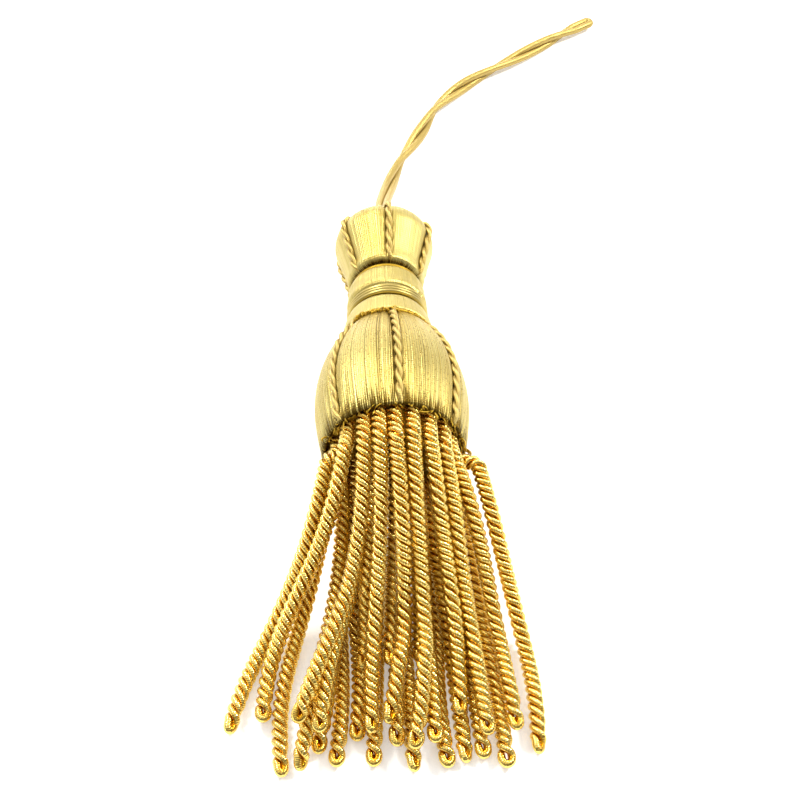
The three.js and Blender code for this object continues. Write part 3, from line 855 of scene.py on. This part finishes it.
for k, name in enumerate(("fringe_lower", "fringe_middle", "fringe_upper")):
    strands = [part for strand in STRANDS[k * BUNDLE:(k + 1) * BUNDLE] for part in twisted(strand)]
    dress(add_yarns(name, strands), bullion_gold, "bullion", "fringe")

# %% [markdown]
# ## Heading
# The strands hang from a woven braid that is rolled up and glued in the bell's mouth. It lies in deep shadow, so one
# flat yarn that follows a spiral is enough.

# %% Rolled braid in the mouth
HEADING = Winding((2.3, 12.0), (2.3, 1.0), turns=6, radius=0.98, sides=8)

dress(add_yarns("heading", [wound_round(HEADING)]), amber_thread, "bullion", "fringe")

# %% [markdown]
# ## Loose ends
# Handwork leaves cut ends. They stand out of the grooves, over the knob and under the hem, and without them the edges
# look machined. Each is a short thin yarn with a curl of its own. A particle system would scatter them too, but a row
# of sizes for each place is easier to steer.

# %% Loose ends of thread
# How many, between which turns, where from, and how long and thick.
Ends = namedtuple("Ends", "count turns s out length thick")
LOOSE_ENDS = [Ends(*row) for row in (
    (120, (0, 360), 31.0, 9.1, 1.6, 0.15),
    (70, (-44, 6), 31.0, 9.3, 1.8, 0.17),
    (70, (0, 360), 47.4, 6.6, 1.1, 0.12),
    (5, (-46, -34), 65.2, 8.6, 1.2, 0.13),
    (90, (-115, 115), 0.9, 12.4, 2.0, 0.14),
    (1, (-70, -69), 0.8, 12.6, 3.6, 0.22),
    (1, (-46, -45), 0.8, 12.6, 3.8, 0.2),
    (2, (30, 36), 0.8, 12.6, 4.2, 0.2),
    (1, (74, 76), 0.8, 12.6, 3.6, 0.22),
    (6, (80, 86), -0.6, 13.2, 2.2, 0.16),
)]
END_STEPS, END_SIDES, END_ARCH, END_ROOT, END_TAPER = 7, 5, 2.2, 1.2, 0.7
# The least and most run, curl and rise of an end, as shares of its length.
END_LEAST, END_MOST = (0.4, -0.6, 0.0), (1.0, 0.6, 0.6)


def loose_end(turn, s, out, length, thick):
    """A thin yarn that leaves the head at a place, runs towards the mouth and curls."""
    away = np.array((math.sin(turn), 0, math.cos(turn)))
    round_it = np.array((math.cos(turn), 0, -math.sin(turn)))
    u = np.linspace(0, 1, END_STEPS)[:, None]
    along, aside, rise = length * random.uniform(END_LEAST, END_MOST)
    path = away * out + (0, s, 0) + u * (0, -along, 0) + u * u * aside * round_it + np.sin(END_ARCH * u) * rise * away
    radius = thick * (END_ROOT - END_TAPER * u[:, 0])
    return yarn(on_head(path), np.tile(round_it, (END_STEPS, 1)), radius, END_SIDES, random.uniform(-1, 1))


ends = [
    loose_end(math.radians(random.uniform(*row.turns)), row.s, row.out, row.length, row.thick)
    for row in LOOSE_ENDS for _ in range(row.count)
]
dress(add_yarns("loose_ends", ends), amber_thread, "covering_thread")

# %% [markdown]
# ## Table and light
# A plain white table in a light tent, as in a small studio. Metal shows what stands round it: the tent is bright
# above and behind, and open towards the camera, so each yarn has a pale crest and a deep side, which the wound wire's
# colour also paints as light and shade. Two small lamps give the crests their sparkle, and a low strip behind the
# tassel gives the bell its band of light. The table glows a little, so that the shadows on it stay faint.

# %% Table
FLOOR_SIZE, FLOOR_CELLS = 20.0, 4
FLOOR_WHITE, FLOOR_ROUGH, FLOOR_GLOW = (0.92, 0.92, 0.92, 1), 0.8, 0.35

bpy.ops.object.select_all(action="DESELECT")
bpy.ops.mesh.primitive_grid_add(x_subdivisions=FLOOR_CELLS, y_subdivisions=FLOOR_CELLS, size=FLOOR_SIZE)
floor = bpy.context.object
floor.name = "floor"
white = bpy.data.materials.new("white_table")
white.use_nodes = True
paint = {
    "Base Color": FLOOR_WHITE, "Roughness": FLOOR_ROUGH,
    "Emission Color": FLOOR_WHITE, "Emission Strength": FLOOR_GLOW,
}
for name, value in paint.items():
    white.node_tree.nodes["Principled BSDF"].inputs[name].default_value = value
floor.data.materials.append(white)

# %% Tent
TENT_SIDE, TENT_OPEN, TENT_BRIGHT = (-0.2, 0.55, 0.8), 0.25, 1.15
TENT_EDGE, TENT_FOLD = 0.1, 0.7

tent = bpy.data.worlds.new("tent")
tent.use_nodes = True
tent.node_tree.nodes.clear()
canvas = Shade(tent.node_tree)
sight = canvas.node("ShaderNodeTexCoord")
towards = canvas.node("ShaderNodeVectorMath", {"operation": "DOT_PRODUCT"}, {0: sight, 1: TENT_SIDE}, output=1)
strength = canvas.node(
    "ShaderNodeMapRange", {"interpolation_type": "SMOOTHSTEP"},
    {0: towards, 1: TENT_EDGE, 2: TENT_FOLD, 3: TENT_OPEN, 4: TENT_BRIGHT},
)
glow = canvas.node("ShaderNodeBackground", {}, {"Color": (1, 1, 1, 1), "Strength": strength})
canvas.node("ShaderNodeOutputWorld", {}, {"Surface": glow})
bpy.context.scene.world = tent

# %% Lamps
LAMPS = {
    "key": ((-0.3, 0.45, 0.6), (0.15, 0.15), 4.0),
    "side": ((0.5, 0.2, 0.5), (0.13, 0.13), 4.4),
    "strip": ((-0.1, 0.8, 0.12), (0.6, 0.025), 0.8),
}

for name, (place, size, power) in LAMPS.items():
    bpy.ops.object.light_add(type="AREA", location=place)
    lamp = bpy.context.object
    lamp.name = name
    lamp.data.shape, lamp.data.energy = "RECTANGLE", power
    lamp.data.size, lamp.data.size_y = size
    lamp.rotation_euler = lamp.location.to_track_quat("Z", "Y").to_euler()
bpy.context.scene.view_settings.view_transform = "Standard"
